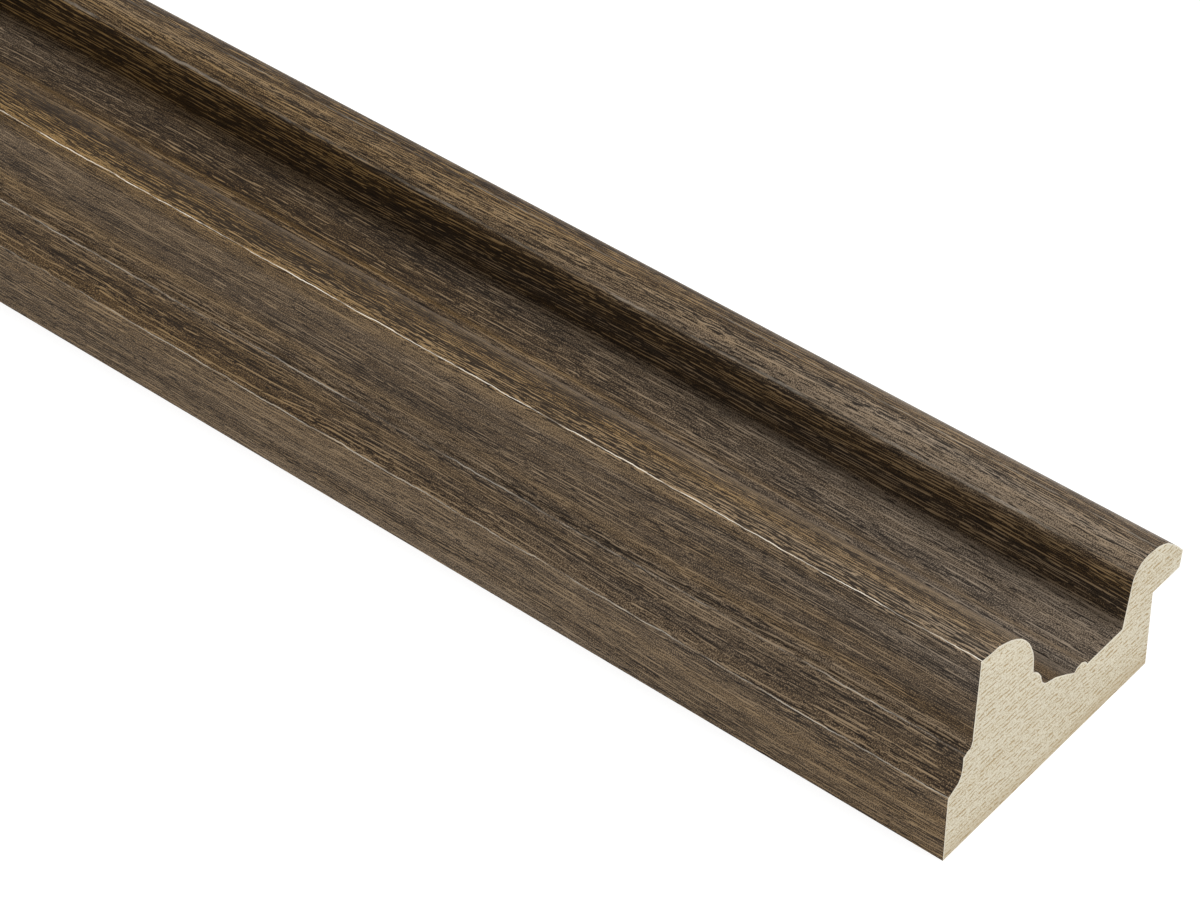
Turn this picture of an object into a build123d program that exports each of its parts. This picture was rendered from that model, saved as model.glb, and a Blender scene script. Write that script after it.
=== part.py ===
"""Picture frame moulding: one stick of profiled wood, cut square at both ends.

The stick runs along X and lies face up on its flat back.  Its outer side faces
-Y and its sight edge, with the rabbet for the picture under it, faces +Y.
All sizes are millimetres.  The members of the section are named as they come,
up the outer side, over the ridge, down into the channel and up to the nosing,
so the overall width and height are the sums of their members.
"""

import os
from math import cos, radians, sin, tan

from build123d import *

# Stick
length = 914.4

# Rabbet under the sight edge, for glass, picture and backing board
rabbet_width = 6.35
rabbet_depth = 12.7

# Outer side, from the back upwards
plinth_height = 10.9
plinth_draft = 0.3
bevel_run = 2.1
bevel_rise = 0.9
riser_height = 3.5
riser_draft = 0.65
riser_sink = 0.2
shoulder_run = 1.35
shoulder_rise = 1.05
shoulder_bulge = 0.3
hollow_run = 0.5
hollow_rise = 1.55
hollow_sink = 0.08
face_height = 12.3
face_batter = 0.6

# Ridge over the outer side
ridge_flat = 1.7
crown_run = 9.8

# Inner flank of the ridge, from the quirk down to the channel
quirk_drop = 1.1
ovolo_run = 2.15
ovolo_drop = 3.25
ovolo_bulge = 0.45
fillet_run = 1.0
fillet_drop = 1.05
fillet_sink = 0.12
apron_run = 6.2
apron_drop = 3.3
apron_bulge = 0.28
bead_run = 2.9
bead_drop = 0.75
bead_bulge = 0.9

# Channel
floor_height = 11.0
floor_width = 7.7

# Nosing along the sight edge
wall_lean = 8.7
nosing_inner_radius = 3.2
crest_run = 4.6
crest_drop = 1.3
cant_run = 3.8
cant_drop = 4.1
cant_bulge = 0.15
nose_height = 2.7
nose_draft = 0.4

# Easing of the sharp edges
arris_radius = 0.35
plinth_edge_radius = 0.3
sight_edge_radius = 0.4


def outer_side_points():
    """Corners of the outer side, from the back up to the arris, from outside in."""
    steps = [
        (plinth_draft, plinth_height),
        (bevel_run, bevel_rise),
        (riser_draft, riser_height),
        (shoulder_run, shoulder_rise),
        (hollow_run, hollow_rise),
        (face_batter, face_height),
    ]
    corners = [Vector(0, 0)]
    for run, rise in steps:
        corners.append(corners[-1] + Vector(run, rise))
    return corners


def flank_points(crown_foot_y):
    """Corners of the inner flank, from under the crown down to the channel floor."""
    drops = [
        (0, quirk_drop),
        (ovolo_run, ovolo_drop),
        (fillet_run, fillet_drop),
        (apron_run, apron_drop),
        (bead_run, bead_drop),
    ]
    top = floor_height + sum(drop for _, drop in drops)
    corners = [Vector(crown_foot_y, top)]
    for run, drop in drops:
        corners.append(corners[-1] + Vector(run, -drop))
    return corners


def section():
    """The moulding's section, in its Y and Z, with the outer corner of the back at zero."""
    outer_side = outer_side_points()
    back_corner, plinth_edge, riser_foot, shoulder_foot, hollow_foot, face_foot, arris = outer_side
    crown_start = arris + Vector(ridge_flat, 0)
    flank = flank_points(crown_start.X + crown_run)
    crown_foot, quirk_foot, ovolo_foot, apron_top, bead_start, floor_start = flank
    crown_drop = crown_start.Y - crown_foot.Y

    # The nosing's inner round runs on from the leaning wall and ends level on its top
    lean = radians(wall_lean)
    floor_end = floor_start + Vector(floor_width, 0)
    nosing_top_z = rabbet_depth + nose_height + cant_drop + crest_drop
    round_centre_z = nosing_top_z - nosing_inner_radius
    wall_top_z = round_centre_z + nosing_inner_radius * sin(lean)
    wall_top = Vector(floor_end.X + (wall_top_z - floor_height) * tan(lean), wall_top_z)
    nosing_top = Vector(wall_top.X + nosing_inner_radius * cos(lean), nosing_top_z)

    cant_top = nosing_top + Vector(crest_run, -crest_drop)
    sight_edge = cant_top + Vector(cant_run, -cant_drop)
    nose_foot = sight_edge - Vector(nose_draft, nose_height)
    rabbet_foot = Vector(sight_edge.X - rabbet_width, 0)
    rabbet_corner = rabbet_foot + Vector(0, rabbet_depth)

    with BuildSketch(Plane.YZ) as outline:
        with BuildLine():
            Polyline(back_corner, plinth_edge, riser_foot)
            SagittaArc(riser_foot, shoulder_foot, -riser_sink)
            SagittaArc(shoulder_foot, hollow_foot, shoulder_bulge)
            SagittaArc(hollow_foot, face_foot, -hollow_sink)
            Polyline(face_foot, arris, crown_start)
            EllipticalCenterArc((crown_start.X, crown_foot.Y), crown_run, crown_drop, arc_size=90)
            Line(crown_foot, quirk_foot)
            SagittaArc(quirk_foot, ovolo_foot, ovolo_bulge)
            SagittaArc(ovolo_foot, apron_top, -fillet_sink)
            SagittaArc(apron_top, bead_start, apron_bulge)
            SagittaArc(bead_start, floor_start, bead_bulge)
            Polyline(floor_start, floor_end, wall_top)
            RadiusArc(wall_top, nosing_top, nosing_inner_radius)
            TangentArc(nosing_top, cant_top, tangent=(1, 0))
            SagittaArc(cant_top, sight_edge, cant_bulge)
            Polyline(sight_edge, nose_foot, rabbet_corner, rabbet_foot, back_corner)
        make_face()
        for edge_point, radius in (
            (arris, arris_radius),
            (plinth_edge, plinth_edge_radius),
            (sight_edge, sight_edge_radius),
        ):
            fillet(outline.vertices().sort_by_distance(edge_point)[0], radius)
    return outline.sketch


def frame_moulding():
    """The stick, with its back on Z zero and its box centred over the origin."""
    stick = extrude(section(), amount=length)
    return Pos(-length / 2, -stick.bounding_box().center().Y, 0) * stick


os.makedirs("parts", exist_ok=True)
export_step(frame_moulding(), "parts/frame_moulding.step")
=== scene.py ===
"""Looks of the picture frame moulding: its walnut wrap, its sawn ends and its bare back."""

from math import pi, radians

import bmesh
import bpy
from bpy.props import FloatProperty, FloatVectorProperty, PointerProperty
from mathutils import Matrix, Vector, noise


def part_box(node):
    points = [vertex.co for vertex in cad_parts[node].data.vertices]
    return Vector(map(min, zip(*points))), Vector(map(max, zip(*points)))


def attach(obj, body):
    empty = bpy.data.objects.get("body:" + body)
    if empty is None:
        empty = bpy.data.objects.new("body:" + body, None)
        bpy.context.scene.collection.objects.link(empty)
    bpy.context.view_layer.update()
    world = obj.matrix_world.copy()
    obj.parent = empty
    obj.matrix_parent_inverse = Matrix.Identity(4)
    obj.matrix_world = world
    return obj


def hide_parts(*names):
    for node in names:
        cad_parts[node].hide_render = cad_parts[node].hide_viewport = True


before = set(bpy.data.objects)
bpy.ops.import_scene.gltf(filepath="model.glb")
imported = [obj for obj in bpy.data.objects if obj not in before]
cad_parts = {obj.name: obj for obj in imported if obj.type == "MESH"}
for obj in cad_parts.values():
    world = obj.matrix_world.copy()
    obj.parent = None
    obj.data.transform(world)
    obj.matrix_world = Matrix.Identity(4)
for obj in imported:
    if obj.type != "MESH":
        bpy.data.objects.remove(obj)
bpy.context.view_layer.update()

bl_info = {
    "name": "Picture Frame Moulding",
    "version": (1, 0, 0),
    "blender": (4, 5, 0),
    "location": "View3D > Sidebar > Moulding",
    "description": "Builds a stick of wrapped picture frame moulding and its studio stage",
    "category": "Add Mesh",
}

stick_low, stick_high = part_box("frame_moulding")
weld_distance = 1e-6
per_millimetre = 1000.0

# A face whose normal is this near to X is a sawn end
end_facing = 0.9
sharp_angle = radians(32)

# How fast the torn and rubbed edges vary
tears_per_metre = 2200.0
rubs_per_metre = 160.0
rub_row = (3.0, 7.0)

# Material slots of the stick's mesh, in order
WRAP, SAWN, RIM, BARE = range(4)

# Places of the patterns, in millimetres along and across the grain
drift_and_painted_light_offset = (659.0, 163.0)
bands_offset = (1838.0, 239.0)
fleck_and_glint_offset = (310.0, 170.0)

# Least and most saturation of the wrap
greyest = 0.65
most_golden = 1.35

# Wood of each member of the section: where its band lies round the girth and how far it reaches, in
# millimetres, then how much lighter, more porous, more flecked and more golden it is. The darker, more
# golden channel wall is painted shade, and the flecks are partly painted glints
wood_bands = {
    "plinth": (5.5, 5.0, 0.06, -0.04, -0.04, 0.01),
    "riser": (13.2, 2.8, -0.16, 0.05, 0.00, 0.04),
    "shoulder": (18.4, 2.0, -0.02, 0.04, 0.00, -0.08),
    "lower face": (24.0, 3.5, -0.02, -0.01, -0.05, -0.20),
    "upper face": (28.5, 3.5, 0.02, 0.00, -0.05, -0.26),
    "under the arris": (31.0, 1.5, 0.08, 0.00, -0.05, 0.05),
    "ridge flat": (33.9, 2.3, 0.26, 0.22, 0.10, 0.14),
    "crown": (37.8, 3.5, -0.05, 0.18, 0.07, 0.42),
    "back of the crown": (41.5, 2.5, -0.11, 0.07, 0.03, 0.20),
    "apron": (62.5, 4.0, 0.00, 0.00, 0.00, -0.35),
    "channel floor": (70.5, 6.0, -0.04, 0.01, -0.03, -0.28),
    "foot of the wall": (75.1, 1.2, 0.20, 0.00, 0.00, -0.10),
    # Painted shade: the channel wall is painted darker and more golden where the channel shades it
    "lower wall in painted shade": (77.4, 2.4, -0.46, 0.08, 0.06, 0.18),
    "upper wall in painted shade": (80.8, 3.0, -0.44, 0.05, 0.15, 0.46),
    "inner round": (84.0, 1.8, -0.03, 0.00, 0.00, 0.16),
    "nosing": (86.0, 1.8, 0.09, 0.11, 0.08, 0.14),
    "crest": (89.0, 2.6, -0.33, 0.10, 0.07, 0.24),
}


class StickSettings(bpy.types.PropertyGroup):
    """Mesh of the stick"""

    ring_spacing: FloatProperty(
        name="Ring spacing",
        description="Distance between the mesh's rings along the stick",
        default=0.0015,
        min=0.0005,
        unit="LENGTH",
    )
    wear_depth: FloatProperty(
        name="Wear depth",
        description="How deep the worn arris is rubbed away",
        default=0.00016,
        min=0.0,
        unit="LENGTH",
    )
    wear_reach: FloatProperty(
        name="Wear reach",
        description="How far the rubbing spreads to each side of the arris",
        default=0.0006,
        min=0.0001,
        unit="LENGTH",
    )
    ragged_depth: FloatProperty(
        name="Ragged depth",
        description="How far the wrap is torn back along the saw cut",
        default=0.00022,
        min=0.0,
        unit="LENGTH",
    )
    rim_width: FloatProperty(
        name="Rim width",
        description="Width of the pale rim under the wrap at a sawn end",
        default=0.00018,
        min=0.0,
        unit="LENGTH",
    )
    turn_in: FloatProperty(
        name="Turn-in",
        description="How far the wrap is turned in under the lip",
        default=0.0022,
        min=0.0,
        unit="LENGTH",
    )
    plinth_edge_height: FloatProperty(
        name="Plinth edge height",
        description="Height of the plinth's worn top edge",
        default=0.0109,
        unit="LENGTH",
    )
    shoulder_height: FloatProperty(
        name="Shoulder height",
        description="Height of the shoulder's worn edge",
        default=0.0160,
        unit="LENGTH",
    )


class WalnutSettings(bpy.types.PropertyGroup):
    """Colours of the walnut wrap"""

    dark_grain: FloatVectorProperty(
        name="Dark grain",
        description="Colour of the dark bands",
        subtype="COLOR",
        default=(0.0292, 0.0199, 0.0128),
        min=0.0,
        max=1.0,
    )
    middle_grain: FloatVectorProperty(
        name="Middle grain",
        description="Colour of most of the wrap",
        subtype="COLOR",
        default=(0.0810, 0.0535, 0.0310),
        min=0.0,
        max=1.0,
    )
    light_grain: FloatVectorProperty(
        name="Light grain",
        description="Colour of the light streaks",
        subtype="COLOR",
        default=(0.228, 0.164, 0.0995),
        min=0.0,
        max=1.0,
    )
    pore: FloatVectorProperty(
        name="Pore",
        description="Colour inside the pores",
        subtype="COLOR",
        default=(0.0148, 0.0105, 0.0075),
        min=0.0,
        max=1.0,
    )
    # Fleck: partly print, partly painted glints where the lips of the pores catch the light
    fleck_and_glint: FloatVectorProperty(
        name="Fleck",
        description="Colour of the short light flecks",
        subtype="COLOR",
        default=(0.25, 0.18, 0.11),
        min=0.0,
        max=1.0,
    )
    # Worn edge: colour of the rubbed edges, partly wear and partly a painted highlight where the edges glint
    worn_and_glint: FloatVectorProperty(
        name="Worn edge",
        description="Colour of the rubbed edges",
        subtype="COLOR",
        default=(0.66, 0.59, 0.49),
        min=0.0,
        max=1.0,
    )


class BareWoodSettings(bpy.types.PropertyGroup):
    """Colours of the sawn ends and the bare back"""

    end_wood: FloatVectorProperty(
        name="End wood",
        description="Colour of the sawn end grain",
        subtype="COLOR",
        default=(0.70, 0.652, 0.51),
        min=0.0,
        max=1.0,
    )
    end_dash: FloatVectorProperty(
        name="End dash",
        description="Colour of the short dashes in the end grain",
        subtype="COLOR",
        default=(0.40, 0.30, 0.165),
        min=0.0,
        max=1.0,
    )
    end_base: FloatVectorProperty(
        name="End base",
        description="Colour of the end grain towards the back",
        subtype="COLOR",
        default=(0.50, 0.41, 0.27),
        min=0.0,
        max=1.0,
    )
    rim: FloatVectorProperty(
        name="Rim",
        description="Colour of the rim under the wrap",
        subtype="COLOR",
        default=(0.68, 0.63, 0.52),
        min=0.0,
        max=1.0,
    )
    back_wood: FloatVectorProperty(
        name="Back wood",
        description="Colour of the bare back",
        subtype="COLOR",
        default=(0.56, 0.44, 0.29),
        min=0.0,
        max=1.0,
    )
    back_grain: FloatVectorProperty(
        name="Back grain",
        description="Colour of the darker grain on the bare back",
        subtype="COLOR",
        default=(0.38, 0.27, 0.16),
        min=0.0,
        max=1.0,
    )


class StageSettings(bpy.types.PropertyGroup):
    """Floor, lights and camera"""

    floor_size: FloatProperty(
        name="Floor size",
        description="Width of the floor",
        default=6.0,
        unit="LENGTH",
    )
    floor_colour: FloatVectorProperty(
        name="Floor colour",
        description="Colour of the floor",
        subtype="COLOR",
        default=(0.80, 0.80, 0.80),
        min=0.0,
        max=1.0,
    )
    world_level: FloatProperty(
        name="World level",
        description="Strength of the even light from all round",
        default=0.65,
    )
    top_power: FloatProperty(
        name="Top light",
        description="Power of the soft light over the stick",
        default=14.5,
        unit="POWER",
    )
    front_power: FloatProperty(
        name="Front light",
        description="Power of the soft low light in front of the stick",
        default=7.5,
        unit="POWER",
    )
    lens: FloatProperty(
        name="Lens",
        description="Focal length of the camera in millimetres",
        default=123.1,
    )
    camera_place: FloatVectorProperty(
        name="Camera place",
        description="Where the camera stands",
        default=(0.6435, -0.3021, 0.3774),
        subtype="TRANSLATION",
        unit="LENGTH",
    )
    camera_azimuth: FloatProperty(
        name="Camera azimuth",
        description="Turn of the view from +Y towards -X",
        default=radians(40.89),
        subtype="ANGLE",
    )
    camera_elevation: FloatProperty(
        name="Camera elevation",
        description="How steeply the camera looks down",
        default=radians(42.88),
        subtype="ANGLE",
    )
    camera_roll: FloatProperty(
        name="Camera roll",
        description="Tilt of the camera about its view",
        default=radians(-1.2),
        subtype="ANGLE",
    )


class NodeMaker:
    """Adds and joins the nodes of one material or node group."""

    def __init__(self, tree):
        self.tree = tree
        self.tree.nodes.clear()

    def feed(self, socket, value):
        """Joins a socket to the given one, or sets it to a value."""
        if isinstance(value, bpy.types.NodeSocket):
            self.tree.links.new(value, socket)
        elif socket.type == "RGBA":
            socket.default_value = (*value[:3], 1.0)
        else:
            socket.default_value = value

    def add(self, kind, inputs=None, **settings):
        """A new node with its settings made and its inputs fed."""
        node = self.tree.nodes.new(kind)
        for name, value in settings.items():
            setattr(node, name, value)
        for name, value in (inputs or {}).items():
            self.feed(node.inputs[name], value)
        return node

    def math(self, operation, *values):
        """The result of a sum."""
        node = self.add("ShaderNodeMath", operation=operation)
        for socket, value in zip(node.inputs, values):
            self.feed(socket, value)
        return node.outputs["Value"]

    def place(self, along, across):
        """A place on the pattern from two distances."""
        return self.add("ShaderNodeCombineXYZ", {"X": along, "Y": across}).outputs["Vector"]

    def fade(self, value, start, end):
        """A mask that rises smoothly from 0 at start to 1 at end."""
        inputs = {"Value": value, "From Min": start, "From Max": end}
        return self.add("ShaderNodeMapRange", inputs, interpolation_type="SMOOTHSTEP").outputs["Result"]

    def mix(self, share, first, second, blend="MIX"):
        """Two colours mixed by a share."""
        node = self.add("ShaderNodeMix", data_type="RGBA", blend_type=blend)
        factor, first_colour, second_colour = (node.inputs[number] for number in (0, 6, 7))
        self.feed(factor, share)
        self.feed(first_colour, first)
        self.feed(second_colour, second)
        return node.outputs[2]

    def ramp(self, value, stops):
        """A colour read off a run of (place, colour) stops."""
        node = self.add("ShaderNodeValToRGB", {"Fac": value})
        elements = node.color_ramp.elements
        while len(elements) < len(stops):
            elements.new(1.0)
        for element, (place, colour) in zip(elements, stops):
            element.position = place
            element.color = (*colour, 1.0)
        return node.outputs["Color"]

    def shifted(self, place, along, across):
        """The place moved along and across the pattern."""
        inputs = {0: place, 1: (along, across, 0.0)}
        return self.add("ShaderNodeVectorMath", inputs).outputs["Vector"]

    def group(self, tree, output, **inputs):
        """One output of a shared effect, placed with its own values."""
        node = self.add("ShaderNodeGroup", node_tree=tree)
        for name, value in inputs.items():
            self.feed(node.inputs[name.capitalize()], value)
        return node.outputs[output]


def shared_effect(name, inputs, outputs):
    """A new node group with its sockets, its maker and its two ends."""
    tree = bpy.data.node_groups.new(name, "ShaderNodeTree")
    for socket_name in inputs:
        kind = "NodeSocketVector" if socket_name == "Place" else "NodeSocketFloat"
        tree.interface.new_socket(socket_name, in_out="INPUT", socket_type=kind)
    for socket_name in outputs:
        tree.interface.new_socket(socket_name, in_out="OUTPUT", socket_type="NodeSocketFloat")
    nodes = NodeMaker(tree)
    return tree, nodes, nodes.add("NodeGroupInput").outputs, nodes.add("NodeGroupOutput").inputs


def stretched_place(nodes, given):
    """The given place, in steps of the given length and width."""
    along = nodes.math("DIVIDE", 1.0, given["Length"])
    across = nodes.math("DIVIDE", 1.0, given["Width"])
    step = nodes.place(along, across)
    scaled = nodes.add("ShaderNodeVectorMath", {0: given["Place"], 1: step}, operation="MULTIPLY")
    return scaled.outputs["Vector"]


def soft_noise(nodes, place, detail):
    """Even noise over a flat place, about 0.5 on the whole."""
    inputs = {"Vector": place, "Scale": 1.0, "Detail": detail, "Roughness": 0.5}
    return nodes.add("ShaderNodeTexNoise", inputs, noise_dimensions="2D").outputs["Fac"]


def side_by_side(nodes, place):
    """Noise about zero in which each dark line has a light one beside it, one step across."""
    beside = nodes.shifted(place, 0.0, 1.0)
    return nodes.math("SUBTRACT", soft_noise(nodes, place, 0.0), soft_noise(nodes, beside, 0.0))


def streaks_effect():
    """Soft streaks about one length long and one width wide."""
    tree, nodes, given, result = shared_effect("Streaks", ("Place", "Length", "Width"), ("Streaks",))
    nodes.feed(result["Streaks"], soft_noise(nodes, stretched_place(nodes, given), 1.0))
    return tree


def fibres_effect():
    """Fine fibres about one length long and one width wide, above and below zero."""
    tree, nodes, given, result = shared_effect("Fibres", ("Place", "Length", "Width"), ("Fibres",))
    nodes.feed(result["Fibres"], side_by_side(nodes, stretched_place(nodes, given)))
    return tree


def dashes_effect():
    """Separate dashes about one length long and one width wide; more of them with a larger amount."""
    inputs = ("Place", "Length", "Width", "Amount", "Softness")
    tree, nodes, given, result = shared_effect("Dashes", inputs, ("Dashes",))
    pattern = side_by_side(nodes, stretched_place(nodes, given))
    core = nodes.math("SUBTRACT", given["Amount"], given["Softness"])
    nodes.feed(result["Dashes"], nodes.fade(pattern, given["Amount"], core))
    return tree


def worn_glint_line_effect():
    """A rubbed line along the stick at one girth, partly wear and partly a painted highlight where the edge
    glints, wavering, stronger in some places than in others.
    """
    inputs = ("Along", "Girth", "Line", "Width", "Amount")
    tree, nodes, given, result = shared_effect("Worn and glinting line", inputs, ("Wear and glint",))
    line_place = nodes.place(given["Along"], nodes.math("MULTIPLY", given["Line"], 7.0))
    waver_inputs = {"Vector": line_place, "Scale": 0.2, "Detail": 5.0, "Roughness": 0.62}
    waver = nodes.add("ShaderNodeTexNoise", waver_inputs, noise_dimensions="2D")
    rub_inputs = {"Vector": line_place, "Scale": 0.07, "Detail": 5.0, "Roughness": 0.7}
    rub = nodes.add("ShaderNodeTexNoise", rub_inputs, noise_dimensions="2D")
    waver_gap = nodes.math("SUBTRACT", waver.outputs["Fac"], 0.5)
    offset = nodes.math("MULTIPLY_ADD", waver_gap, 0.6, given["Line"])
    gap = nodes.math("ABSOLUTE", nodes.math("SUBTRACT", given["Girth"], offset))
    line = nodes.fade(gap, given["Width"], nodes.math("MULTIPLY", given["Width"], 0.3))
    strength = nodes.math("MULTIPLY_ADD", nodes.fade(rub.outputs["Fac"], 0.36, 0.66), 1.4, 0.2)
    rubbed_and_glinting = nodes.math("MULTIPLY", strength, given["Amount"])
    nodes.feed(result["Wear and glint"], nodes.math("MULTIPLY", line, rubbed_and_glinting))
    return tree


def new_material(name):
    """A material with its shader and output, and a maker for the rest."""
    material = bpy.data.materials.new(name)
    material.use_nodes = True
    nodes = NodeMaker(material.node_tree)
    shader = nodes.add("ShaderNodeBsdfPrincipled")
    nodes.add("ShaderNodeOutputMaterial", {"Surface": shader.outputs["BSDF"]})
    return material, nodes, shader


def object_millimetres(nodes):
    """The place on the stick, in millimetres, as X, Y and Z sockets."""
    where = nodes.add("ShaderNodeTexCoord").outputs["Object"]
    scaled = nodes.add("ShaderNodeVectorMath", {0: where, "Scale": per_millimetre}, operation="SCALE")
    return nodes.add("ShaderNodeSeparateXYZ", {"Vector": scaled.outputs["Vector"]}).outputs


def add_bump(nodes, shader, height, distance, strength):
    """Fine relief on a shader from a height."""
    inputs = {"Height": height, "Distance": distance, "Strength": strength}
    nodes.feed(shader.inputs["Normal"], nodes.add("ShaderNodeBump", inputs).outputs["Normal"])


def add_layers(nodes, value, layers):
    """Adds patterns to a value, each about its middle and at its own strength."""
    for layer, strength in layers:
        value = nodes.math("MULTIPLY_ADD", nodes.math("SUBTRACT", layer, 0.5), strength, value)
    return value


def grain_place(nodes, streaks, along, girth):
    """The place on the walnut's grain, which sways slowly along the stick and ripples a little."""
    flat = nodes.place(along, girth)
    sway = nodes.group(streaks, "Streaks", place=flat, length=130.0, width=30.0)
    ripple = nodes.group(streaks, "Streaks", place=flat, length=24.0, width=5.0)
    swayed = nodes.math("MULTIPLY_ADD", sway, 5.0, girth)
    return nodes.place(along, nodes.math("MULTIPLY_ADD", ripple, 0.5, swayed))


def banded_wood(nodes, girth):
    """Tone, porosity, flecking and saturation of the wrap at a girth, with the painted shade of the channel
    wall.
    """
    values = [0.54, 0.0, 0.0, 1.02]
    for centre, reach, *changes in wood_bands.values():
        gap = nodes.math("ABSOLUTE", nodes.math("SUBTRACT", girth, centre))
        inside = nodes.fade(gap, reach, 0.3 * reach)
        values = [nodes.math("MULTIPLY_ADD", inside, change, value) for change, value in zip(changes, values)]
    return values


def walnut_pores(nodes, dashes, grain, porosity):
    """A mask of long and short pores, more of them in more porous wood."""
    pores = 0.0
    for length, width, amount, depth in (
        (16.0, 0.25, -0.30, 0.75),
        (4.5, 0.24, -0.29, 1.00),
        (1.6, 0.22, -0.29, 1.00),
    ):
        shape = {"length": length, "width": width, "softness": 0.12}
        amount_here = nodes.math("ADD", porosity, amount)
        dash = nodes.group(dashes, "Dashes", place=grain, amount=amount_here, **shape)
        pores = nodes.math("MAXIMUM", pores, nodes.math("MULTIPLY", dash, depth))
    return pores


def walnut_flecks_and_glints(nodes, dashes, grain, flecking_and_glints):
    """A mask of short light flecks, more of them in more flecked wood; the flecks are partly print and partly
    painted glints off the lips of the pores.
    """
    fleck_and_glint_place = nodes.shifted(grain, *fleck_and_glint_offset)
    flecks_and_glints = 0.0
    for length, width, amount in ((14.0, 0.26, -0.34), (5.0, 0.24, -0.34)):
        shape = {"length": length, "width": width, "softness": 0.05}
        amount_here = nodes.math("ADD", flecking_and_glints, amount)
        dash = nodes.group(dashes, "Dashes", place=fleck_and_glint_place, amount=amount_here, **shape)
        flecks_and_glints = nodes.math("MAXIMUM", flecks_and_glints, dash)
    return flecks_and_glints


def rubbed_and_glinting_edges(nodes, worn_glint_line, lines, along, girth):
    """A mask of all the rubbed lines along the stick, partly wear and partly painted highlight."""
    wear_and_glint = 0.0
    for line, width, amount in lines:
        shape = {"line": line, "width": width, "amount": amount}
        rubbed_and_glinting = nodes.group(worn_glint_line, "Wear and glint", along=along, girth=girth, **shape)
        wear_and_glint = nodes.math("MAXIMUM", wear_and_glint, rubbed_and_glinting)
    return wear_and_glint


def walnut_wrap(walnut, lines, streaks, fibres, dashes, worn_glint_line):
    """The satin walnut wrap: bands, streaks and fibres, pores, flecks and rubbed edges, with painted shade on
    the channel wall, painted highlights in the flecks and along the edges, and a slow drift that is partly
    painted light.
    """
    material, nodes, shader = new_material("walnut_wrap")
    along = object_millimetres(nodes)["X"]
    girth_node = nodes.add("ShaderNodeAttribute", attribute_name="girth")
    girth = nodes.math("MULTIPLY", girth_node.outputs["Fac"], per_millimetre)
    grain = grain_place(nodes, streaks, along, girth)
    tone, porosity, flecking_and_glints, saturation = banded_wood(nodes, girth)

    # From broad bands down to the finest fibres and specks
    # The slow drift is partly the wrap's own variation and partly painted light, standing in for light coming
    # in at the open near end
    drift_and_painted_light_place = nodes.shifted(grain, *drift_and_painted_light_offset)
    drift_and_painted_light = nodes.group(streaks, "Streaks", place=drift_and_painted_light_place, length=260.0, width=20.0)
    bands_place = nodes.shifted(grain, *bands_offset)
    bands = nodes.group(streaks, "Streaks", place=bands_place, length=160.0, width=4.5)
    threads = nodes.group(streaks, "Streaks", place=grain, length=60.0, width=1.0)
    specks = nodes.group(streaks, "Streaks", place=grain, length=0.16, width=0.20)
    tone = add_layers(nodes, tone, ((drift_and_painted_light, 0.50), (bands, 0.33), (threads, 0.20), (specks, 1.90)))
    for length, width, strength in ((12.0, 0.24, 0.07), (3.2, 0.22, 0.12), (1.1, 0.21, 0.26)):
        fine = nodes.group(fibres, "Fibres", place=grain, length=length, width=width)
        tone = nodes.math("MULTIPLY_ADD", fine, strength, tone)
    colour = nodes.ramp(tone, (
        (0.15, walnut.dark_grain),
        (0.50, walnut.middle_grain),
        (0.95, walnut.light_grain),
    ))

    # Pores lie thicker in some places than in others
    clusters = nodes.group(streaks, "Streaks", place=grain, length=45.0, width=2.2)
    spread = nodes.math("MULTIPLY_ADD", nodes.math("ADD", bands, clusters), -0.40, 0.40)
    pores = walnut_pores(nodes, dashes, grain, nodes.math("ADD", porosity, spread))
    # Light flecks, partly print and partly painted glints
    colour = nodes.mix(walnut_flecks_and_glints(nodes, dashes, grain, flecking_and_glints), colour, walnut.fleck_and_glint)
    colour = nodes.mix(nodes.math("MULTIPLY", pores, 0.95), colour, walnut.pore)

    # Greyer and more golden stretches
    hue = nodes.group(streaks, "Streaks", place=grain, length=75.0, width=2.4)
    saturation = add_layers(nodes, saturation, ((hue, 0.2), (drift_and_painted_light, -1.2)))
    saturation = nodes.math("MINIMUM", nodes.math("MAXIMUM", saturation, greyest), most_golden)
    tinted = {"Saturation": saturation, "Color": colour}
    colour = nodes.add("ShaderNodeHueSaturation", tinted).outputs["Color"]

    # Rubbed edges: partly real wear, partly a painted highlight along the edges
    wear_and_glint = rubbed_and_glinting_edges(nodes, worn_glint_line, lines, along, girth)
    nodes.feed(shader.inputs["Base Color"], nodes.mix(wear_and_glint, colour, walnut.worn_and_glint))
    shader.inputs["Specular IOR Level"].default_value = 0.1

    # The finest fibres also shape the sheen and the relief
    sheen = nodes.math("MULTIPLY_ADD", fine, 0.10, 0.52)
    rough = nodes.math("MULTIPLY_ADD", pores, 0.2, sheen)
    nodes.feed(shader.inputs["Roughness"], nodes.math("MULTIPLY_ADD", wear_and_glint, 0.2, rough))
    relief = nodes.math("MULTIPLY_ADD", pores, -1.0, fine)
    add_bump(nodes, shader, relief, 0.00006, 0.35)
    return material


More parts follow.
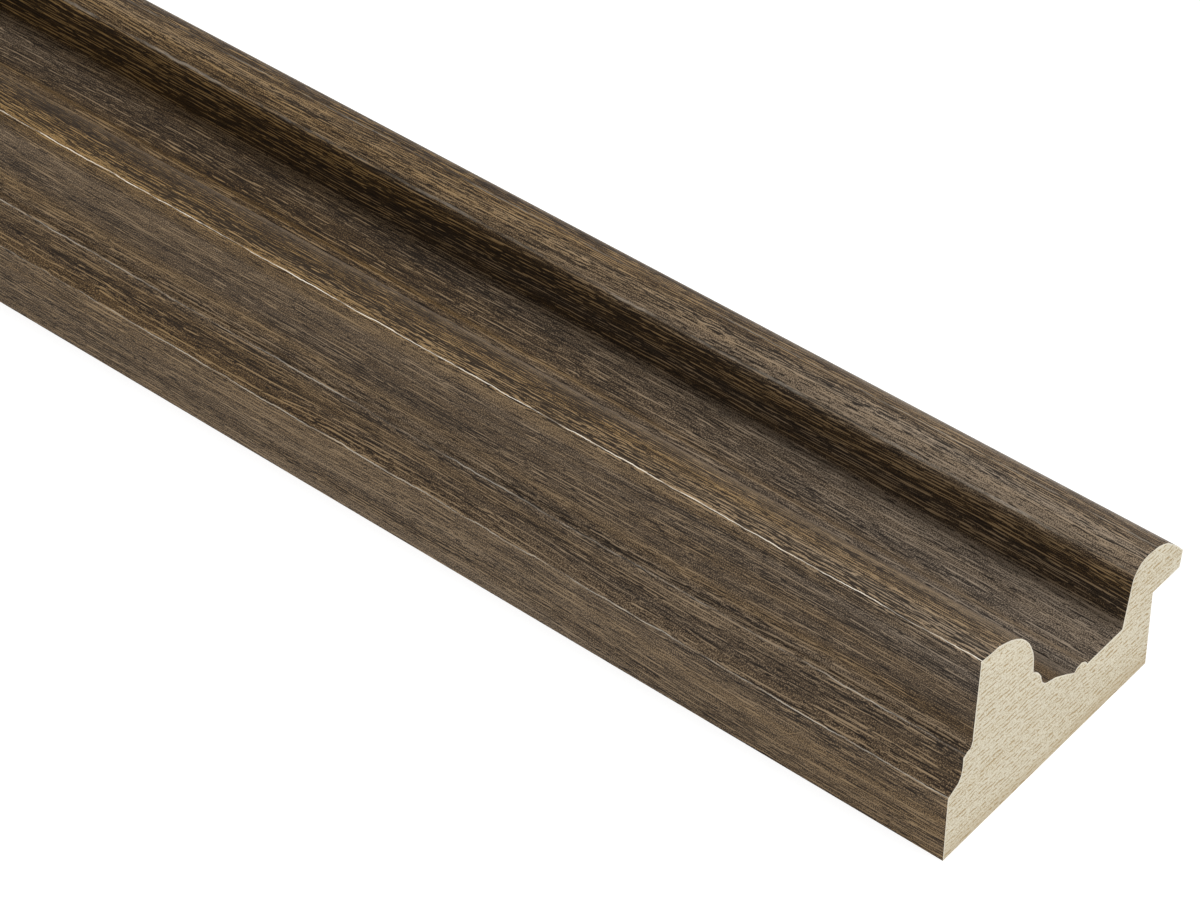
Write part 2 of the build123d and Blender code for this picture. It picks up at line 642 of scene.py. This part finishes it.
def sawn_end(bare, streaks):
    """Pale end grain, sawn across: short dashes along the growth rings and a darker foot."""
    material, nodes, shader = new_material("sawn_end")
    where = object_millimetres(nodes)
    flat = nodes.place(where["Y"], where["Z"])
    waver = nodes.group(streaks, "Streaks", place=flat, length=14.0, width=9.0)
    ripple = nodes.group(streaks, "Streaks", place=flat, length=2.4, width=1.8)
    ring_tilt = 0.04
    tilted = nodes.math("MULTIPLY_ADD", where["Y"], ring_tilt, where["Z"])
    wavered = nodes.math("MULTIPLY_ADD", waver, 0.8, tilted)
    rings_height = nodes.math("MULTIPLY_ADD", ripple, 0.7, wavered)
    across = nodes.place(where["Y"], rings_height)
    rings = nodes.group(streaks, "Streaks", place=across, length=26.0, width=1.4)
    specks = nodes.group(streaks, "Streaks", place=flat, length=0.17, width=0.17)
    tone = add_layers(nodes, 0.5, ((specks, 1.6), (rings, 0.3)))
    colour = nodes.ramp(tone, ((0.15, bare.end_dash), (0.50, bare.end_wood), (0.85, bare.rim)))
    foot = nodes.fade(nodes.math("MULTIPLY_ADD", waver, 1.5, where["Z"]), 3.8, 0.9)
    colour = nodes.mix(nodes.math("MULTIPLY", foot, 0.6), colour, bare.end_base)

    # Rows of short strokes along the growth rings
    row_spacing = 0.74
    row = nodes.math("SINE", nodes.math("MULTIPLY", rings_height, 2 * pi / row_spacing))
    broken = nodes.group(streaks, "Streaks", place=across, length=0.9, width=0.4)
    strokes = nodes.math("MULTIPLY", nodes.fade(row, 0.0, -0.9), nodes.fade(broken, 0.38, 0.60))
    colour = nodes.mix(strokes, colour, bare.end_dash)
    nodes.feed(shader.inputs["Base Color"], colour)
    shader.inputs["Roughness"].default_value = 0.85
    shader.inputs["Specular IOR Level"].default_value = 0.25
    add_bump(nodes, shader, nodes.math("MULTIPLY", strokes, -1.0), 0.00003, 0.3)
    return material


def pale_rim(bare, streaks):
    """The pale rim that shows at the saw cut, just under the wrap."""
    material, nodes, shader = new_material("pale_rim")
    where = object_millimetres(nodes)
    flat = nodes.place(where["Y"], where["Z"])
    speckle = nodes.group(streaks, "Streaks", place=flat, length=0.9, width=0.9)
    colour = nodes.mix(nodes.fade(speckle, 0.62, 0.30), bare.rim, bare.end_wood)
    nodes.feed(shader.inputs["Base Color"], colour)
    shader.inputs["Roughness"].default_value = 0.8
    return material


def bare_wood(bare, streaks, fibres, dashes):
    """The planed, unfinished back and rabbet, with the grain along the stick."""
    material, nodes, shader = new_material("bare_wood")
    where = object_millimetres(nodes)
    sideways = nodes.math("ADD", where["Y"], where["Z"])
    flat = nodes.place(where["X"], sideways)
    sway = nodes.group(streaks, "Streaks", place=flat, length=120.0, width=25.0)
    grain = nodes.place(where["X"], nodes.math("MULTIPLY_ADD", sway, 12.0, sideways))
    bands = nodes.group(streaks, "Streaks", place=grain, length=140.0, width=3.0)
    fine = nodes.group(fibres, "Fibres", place=grain, length=9.0, width=0.4)
    tone = nodes.math("MULTIPLY_ADD", fine, 0.5, bands)
    colour = nodes.ramp(tone, ((0.25, bare.back_grain), (0.55, bare.back_wood), (0.85, bare.end_wood)))
    shape = {"length": 5.0, "width": 0.4, "amount": -0.20, "softness": 0.08}
    pore_mask = nodes.group(dashes, "Dashes", place=grain, **shape)
    colour = nodes.mix(nodes.math("MULTIPLY", pore_mask, 0.5), colour, bare.back_grain)
    nodes.feed(shader.inputs["Base Color"], colour)
    shader.inputs["Roughness"].default_value = 0.75
    shader.inputs["Specular IOR Level"].default_value = 0.3
    relief = nodes.math("MULTIPLY_ADD", pore_mask, -0.7, fine)
    add_bump(nodes, shader, relief, 0.0001, 0.4)
    return material


def near_end_face(bm):
    """Leaves in bm only the solid's near sawn end, as one face, with room for the girth on its corners."""
    bm.from_mesh(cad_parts["frame_moulding"].data)
    girth = bm.verts.layers.float.new("girth")
    bmesh.ops.remove_doubles(bm, verts=bm.verts, dist=weld_distance)
    bm.normal_update()
    bmesh.ops.delete(bm, geom=[face for face in bm.faces if face.normal.x < end_facing], context="FACES")
    section = bmesh.ops.dissolve_faces(bm, faces=bm.faces[:])["region"][0]
    return section, girth


def measure_girth(face, girth):
    """Marks each corner of the section with its way round from the outer corner of the back."""
    corners = [loop.vert for loop in face.loops]
    start = min(range(len(corners)), key=lambda number: corners[number].co.y + corners[number].co.z)
    ordered = corners[start:] + corners[:start]
    if ordered[1].co.z < ordered[-1].co.z:
        ordered = ordered[:1] + ordered[:0:-1]
    way = 0.0
    for before, corner in zip(ordered, ordered[1:]):
        way += (corner.co - before.co).length
        corner[girth] = way
    return ordered


def split_lip(face, nose_foot, turn_in):
    """Splits the underside of the lip where the turned-in wrap ends."""
    for edge in face.edges:
        if nose_foot in edge.verts and abs(edge.verts[0].co.z - edge.verts[1].co.z) < weld_distance:
            bmesh.utils.edge_split(edge, nose_foot, turn_in / edge.calc_length())
            return


class MOULDING_OT_stick(bpy.types.Operator):
    """Builds the dressed stick over the solid"""

    bl_idname = "moulding.stick"
    bl_label = "Stick"

    def execute(self, context):
        settings = context.scene.moulding_stick
        bm = bmesh.new()
        section, girth = near_end_face(bm)
        half_depth = 0.5 * stick_high.y
        inner = [vert for vert in bm.verts if vert.co.y > half_depth]
        lip_height = min(vert.co.z for vert in inner if vert.co.z > stick_low.z + weld_distance)
        lip = [vert for vert in inner if abs(vert.co.z - lip_height) < weld_distance]
        nose_foot = max(lip, key=lambda vert: vert.co.y)
        split_lip(section, nose_foot, settings.turn_in)
        outline = measure_girth(section, girth)
        wrap_end = nose_foot[girth] + settings.turn_in
        lines = self.worn_and_glint_lines(settings, outline, girth)

        # The section is drawn out along the stick and cut into rings
        length = stick_high.x - stick_low.x
        drawn = bmesh.ops.extrude_face_region(bm, geom=[section])["geom"]
        far_corners = [item for item in drawn if isinstance(item, bmesh.types.BMVert)]
        bmesh.ops.translate(bm, verts=far_corners, vec=(-length, 0, 0))
        long_edges = [edge for edge in bm.edges if edge.calc_length() > 0.9 * length]
        cuts = round(length / settings.ring_spacing) - 1
        bmesh.ops.subdivide_edges(bm, edges=long_edges, cuts=cuts, use_grid_fill=True)
        bmesh.ops.recalc_face_normals(bm, faces=bm.faces[:])

        self.inset_ends(bm, settings, girth, wrap_end)
        self.rub_arris(bm, settings, girth, lines[0][0] / per_millimetre)

        mesh = bpy.data.meshes.new("moulding_stick")
        bm.to_mesh(mesh)
        bm.free()
        mesh.set_sharp_from_angle(angle=sharp_angle)
        stick = bpy.data.objects.new("moulding_stick", mesh)
        context.scene.collection.objects.link(stick)
        for material in self.finishes(context.scene, lines):
            mesh.materials.append(material)
        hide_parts("frame_moulding")
        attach(stick, "root")
        return {"FINISHED"}

    def worn_and_glint_lines(self, settings, outline, girth):
        """Girth, width and amount of each rubbed line with its painted highlight, in millimetres, the arris
        first.
        """
        outer_bound = 0.7 * stick_low.y
        outer = [vert for vert in outline if vert.co.y < outer_bound]

        # Of two corners about as near to a height, the upper one is taken
        upper_first = 0.01
        lines = []
        for height, width, amount in (
            (stick_high.z, 0.105, 1.00),
            (settings.plinth_edge_height, 0.11, 0.33),
            (settings.shoulder_height, 0.11, 0.28),
        ):
            corner = min(outer, key=lambda vert: abs(vert.co.z - height) - upper_first * vert.co.z)
            lines.append((corner[girth] * per_millimetre, width, amount))
        nosing_top = max((vert for vert in outline if vert.co.y > 0), key=lambda vert: vert.co.z)
        nosing = nosing_top[girth] * per_millimetre
        return [*lines, (nosing - 3.0, 0.30, 0.18), (nosing + 2.2, 0.20, 0.12)]

    def inset_ends(self, bm, settings, girth, wrap_end):
        """Gives each face its material, and each sawn end its rim and ragged edge."""
        ends = []
        bm.normal_update()
        for face in bm.faces:
            face.smooth = True
            if abs(face.normal.x) > end_facing:
                face.material_index = SAWN
                ends.append(face)
            elif max(vert[girth] for vert in face.verts) < wrap_end + weld_distance:
                face.material_index = WRAP
            else:
                face.material_index = BARE
        for end in ends:
            bmesh.ops.inset_region(bm, faces=[end], thickness=settings.rim_width, use_even_offset=True)
        bm.normal_update()
        saw_cut = stick_high.x - weld_distance
        wrapped_edge = set()
        for face in bm.faces:
            if face.material_index == WRAP:
                wrapped_edge.update(vert for vert in face.verts if abs(vert.co.x) > saw_cut)
        for face in bm.faces:
            if face.material_index == SAWN and len(face.verts) == 4:
                if sum(vert in wrapped_edge for vert in face.verts) == 2:
                    face.material_index = RIM
        for vert in wrapped_edge:
            tear = noise.noise(vert.co * tears_per_metre)
            inward = -1.0 if vert.co.x > 0 else 1.0
            vert.co.x += inward * settings.ragged_depth * max(0.0, tear)

    def rub_arris(self, bm, settings, girth, arris):
        """Rubs the arris away here and there along the stick."""
        ridge_bound = 0.8 * stick_high.z
        for vert in bm.verts:
            gap = abs(vert[girth] - arris) / settings.wear_reach
            if gap < 1.0 and vert.co.z > ridge_bound:
                rub = max(0.0, 0.5 + noise.noise(Vector((vert.co.x * rubs_per_metre, *rub_row))))
                vert.co -= vert.normal * settings.wear_depth * rub * (1.0 - gap) ** 2

    def finishes(self, scene, lines):
        """The stick's materials in slot order."""
        streaks = streaks_effect()
        fibres = fibres_effect()
        dashes = dashes_effect()
        worn_glint_line = worn_glint_line_effect()
        bare = scene.moulding_bare_wood
        return (
            walnut_wrap(scene.moulding_walnut, lines, streaks, fibres, dashes, worn_glint_line),
            sawn_end(bare, streaks),
            pale_rim(bare, streaks),
            bare_wood(bare, streaks, fibres, dashes),
        )


class MOULDING_OT_stage(bpy.types.Operator):
    """Sets up the floor, the soft studio light and the camera"""

    bl_idname = "moulding.stage"
    bl_label = "Stage"

    def execute(self, context):
        settings = context.scene.moulding_stage
        context.scene.view_settings.view_transform = "Standard"
        self.floor(context, settings)
        self.world(context, settings)
        self.lights(context, settings)
        self.camera(context, settings)
        return {"FINISHED"}

    def seen_directly(self, nodes):
        """1 for rays that show the background to the camera, also in gloss and glass."""
        rays = nodes.add("ShaderNodeLightPath").outputs
        shown = nodes.math("MAXIMUM", rays["Is Camera Ray"], rays["Is Glossy Ray"])
        return nodes.math("MAXIMUM", shown, rays["Is Transmission Ray"])

    def floor(self, context, settings):
        """A pale floor, which the camera sees as white with the stick's shadow on it."""
        shown_shade = (0.35, 0.35, 0.35)
        shown_glow = 0.75
        bm = bmesh.new()
        bmesh.ops.create_grid(bm, x_segments=1, y_segments=1, size=settings.floor_size / 2)
        bmesh.ops.translate(bm, verts=bm.verts, vec=(0, 0, stick_low.z))
        mesh = bpy.data.meshes.new("floor")
        bm.to_mesh(mesh)
        bm.free()
        floor = bpy.data.objects.new("floor", mesh)
        context.scene.collection.objects.link(floor)
        material = bpy.data.materials.new("pale_floor")
        material.use_nodes = True
        nodes = NodeMaker(material.node_tree)
        plain = nodes.add("ShaderNodeBsdfDiffuse", {"Color": settings.floor_colour})
        shade = nodes.add("ShaderNodeBsdfDiffuse", {"Color": shown_shade})
        glow = nodes.add("ShaderNodeEmission", {"Color": (1, 1, 1), "Strength": shown_glow})
        shown = nodes.add("ShaderNodeAddShader", {0: shade.outputs["BSDF"], 1: glow.outputs["Emission"]})
        both = {0: self.seen_directly(nodes), 1: plain.outputs["BSDF"], 2: shown.outputs["Shader"]}
        surface = nodes.add("ShaderNodeMixShader", both)
        nodes.add("ShaderNodeOutputMaterial", {"Surface": surface.outputs["Shader"]})
        mesh.materials.append(material)

    def world(self, context, settings):
        """Even light from all round, which the camera sees as white."""
        world = bpy.data.worlds.new("white_studio")
        world.use_nodes = True
        nodes = NodeMaker(world.node_tree)
        light = nodes.add("ShaderNodeBackground", {"Color": (1, 1, 1), "Strength": settings.world_level})
        white = nodes.add("ShaderNodeBackground", {"Color": (1, 1, 1), "Strength": 1.0})
        both = {0: self.seen_directly(nodes), 1: light.outputs["Background"], 2: white.outputs["Background"]}
        surface = nodes.add("ShaderNodeMixShader", both)
        nodes.add("ShaderNodeOutputWorld", {"Surface": surface.outputs["Shader"]})
        context.scene.world = world

    def lights(self, context, settings):
        """A soft light over the stick and a low one in front of it."""
        for name, power, size, place, aim in (
            ("top_softbox", settings.top_power, 1.0, (0.80, 0.32, 1.3), (0.35, 0.0, 0.0)),
            ("front_softbox", settings.front_power, 1.0, (-0.40, -1.20, 0.45), (0.35, 0.0, 0.0)),
        ):
            lamp = bpy.data.lights.new(name, "AREA")
            lamp.shape = "SQUARE"
            lamp.size = size
            lamp.energy = power
            light = bpy.data.objects.new(name, lamp)
            light.location = place
            light.rotation_euler = (Vector(aim) - Vector(place)).to_track_quat("-Z", "Y").to_euler()
            context.scene.collection.objects.link(light)

    def camera(self, context, settings):
        """The camera, turned about Z, tipped down and rolled."""
        lens = bpy.data.cameras.new("camera")
        lens.lens = settings.lens
        lens.sensor_width = 36.0
        camera = bpy.data.objects.new("camera", lens)
        turn = Matrix.Rotation(settings.camera_azimuth, 4, "Z")
        tip = Matrix.Rotation(radians(90) - settings.camera_elevation, 4, "X")
        roll = Matrix.Rotation(settings.camera_roll, 4, "Z")
        camera.matrix_world = Matrix.Translation(settings.camera_place) @ turn @ tip @ roll
        context.scene.collection.objects.link(camera)
        context.scene.camera = camera


class MOULDING_PT_sidebar(bpy.types.Panel):
    """Lists the steps and settings of the moulding"""

    bl_idname = "MOULDING_PT_sidebar"
    bl_label = "Picture Frame Moulding"
    bl_space_type = "VIEW_3D"
    bl_region_type = "UI"
    bl_category = "Moulding"

    def draw(self, context):
        for operator in (MOULDING_OT_stick, MOULDING_OT_stage):
            self.layout.operator(operator.bl_idname)
        for name, group in setting_groups.items():
            box = self.layout.box()
            for setting in group.__annotations__:
                box.prop(getattr(context.scene, name), setting)


setting_groups = {
    "moulding_stick": StickSettings,
    "moulding_walnut": WalnutSettings,
    "moulding_bare_wood": BareWoodSettings,
    "moulding_stage": StageSettings,
}
classes = (*setting_groups.values(), MOULDING_OT_stick, MOULDING_OT_stage, MOULDING_PT_sidebar)


def register():
    for item in classes:
        bpy.utils.register_class(item)
    for name, group in setting_groups.items():
        setattr(bpy.types.Scene, name, PointerProperty(type=group))


def unregister():
    for name in setting_groups:
        delattr(bpy.types.Scene, name)
    for item in reversed(classes):
        bpy.utils.unregister_class(item)


def main():
    register()
    bpy.ops.moulding.stick()
    bpy.ops.moulding.stage()


if __name__ == "__main__":
    main()
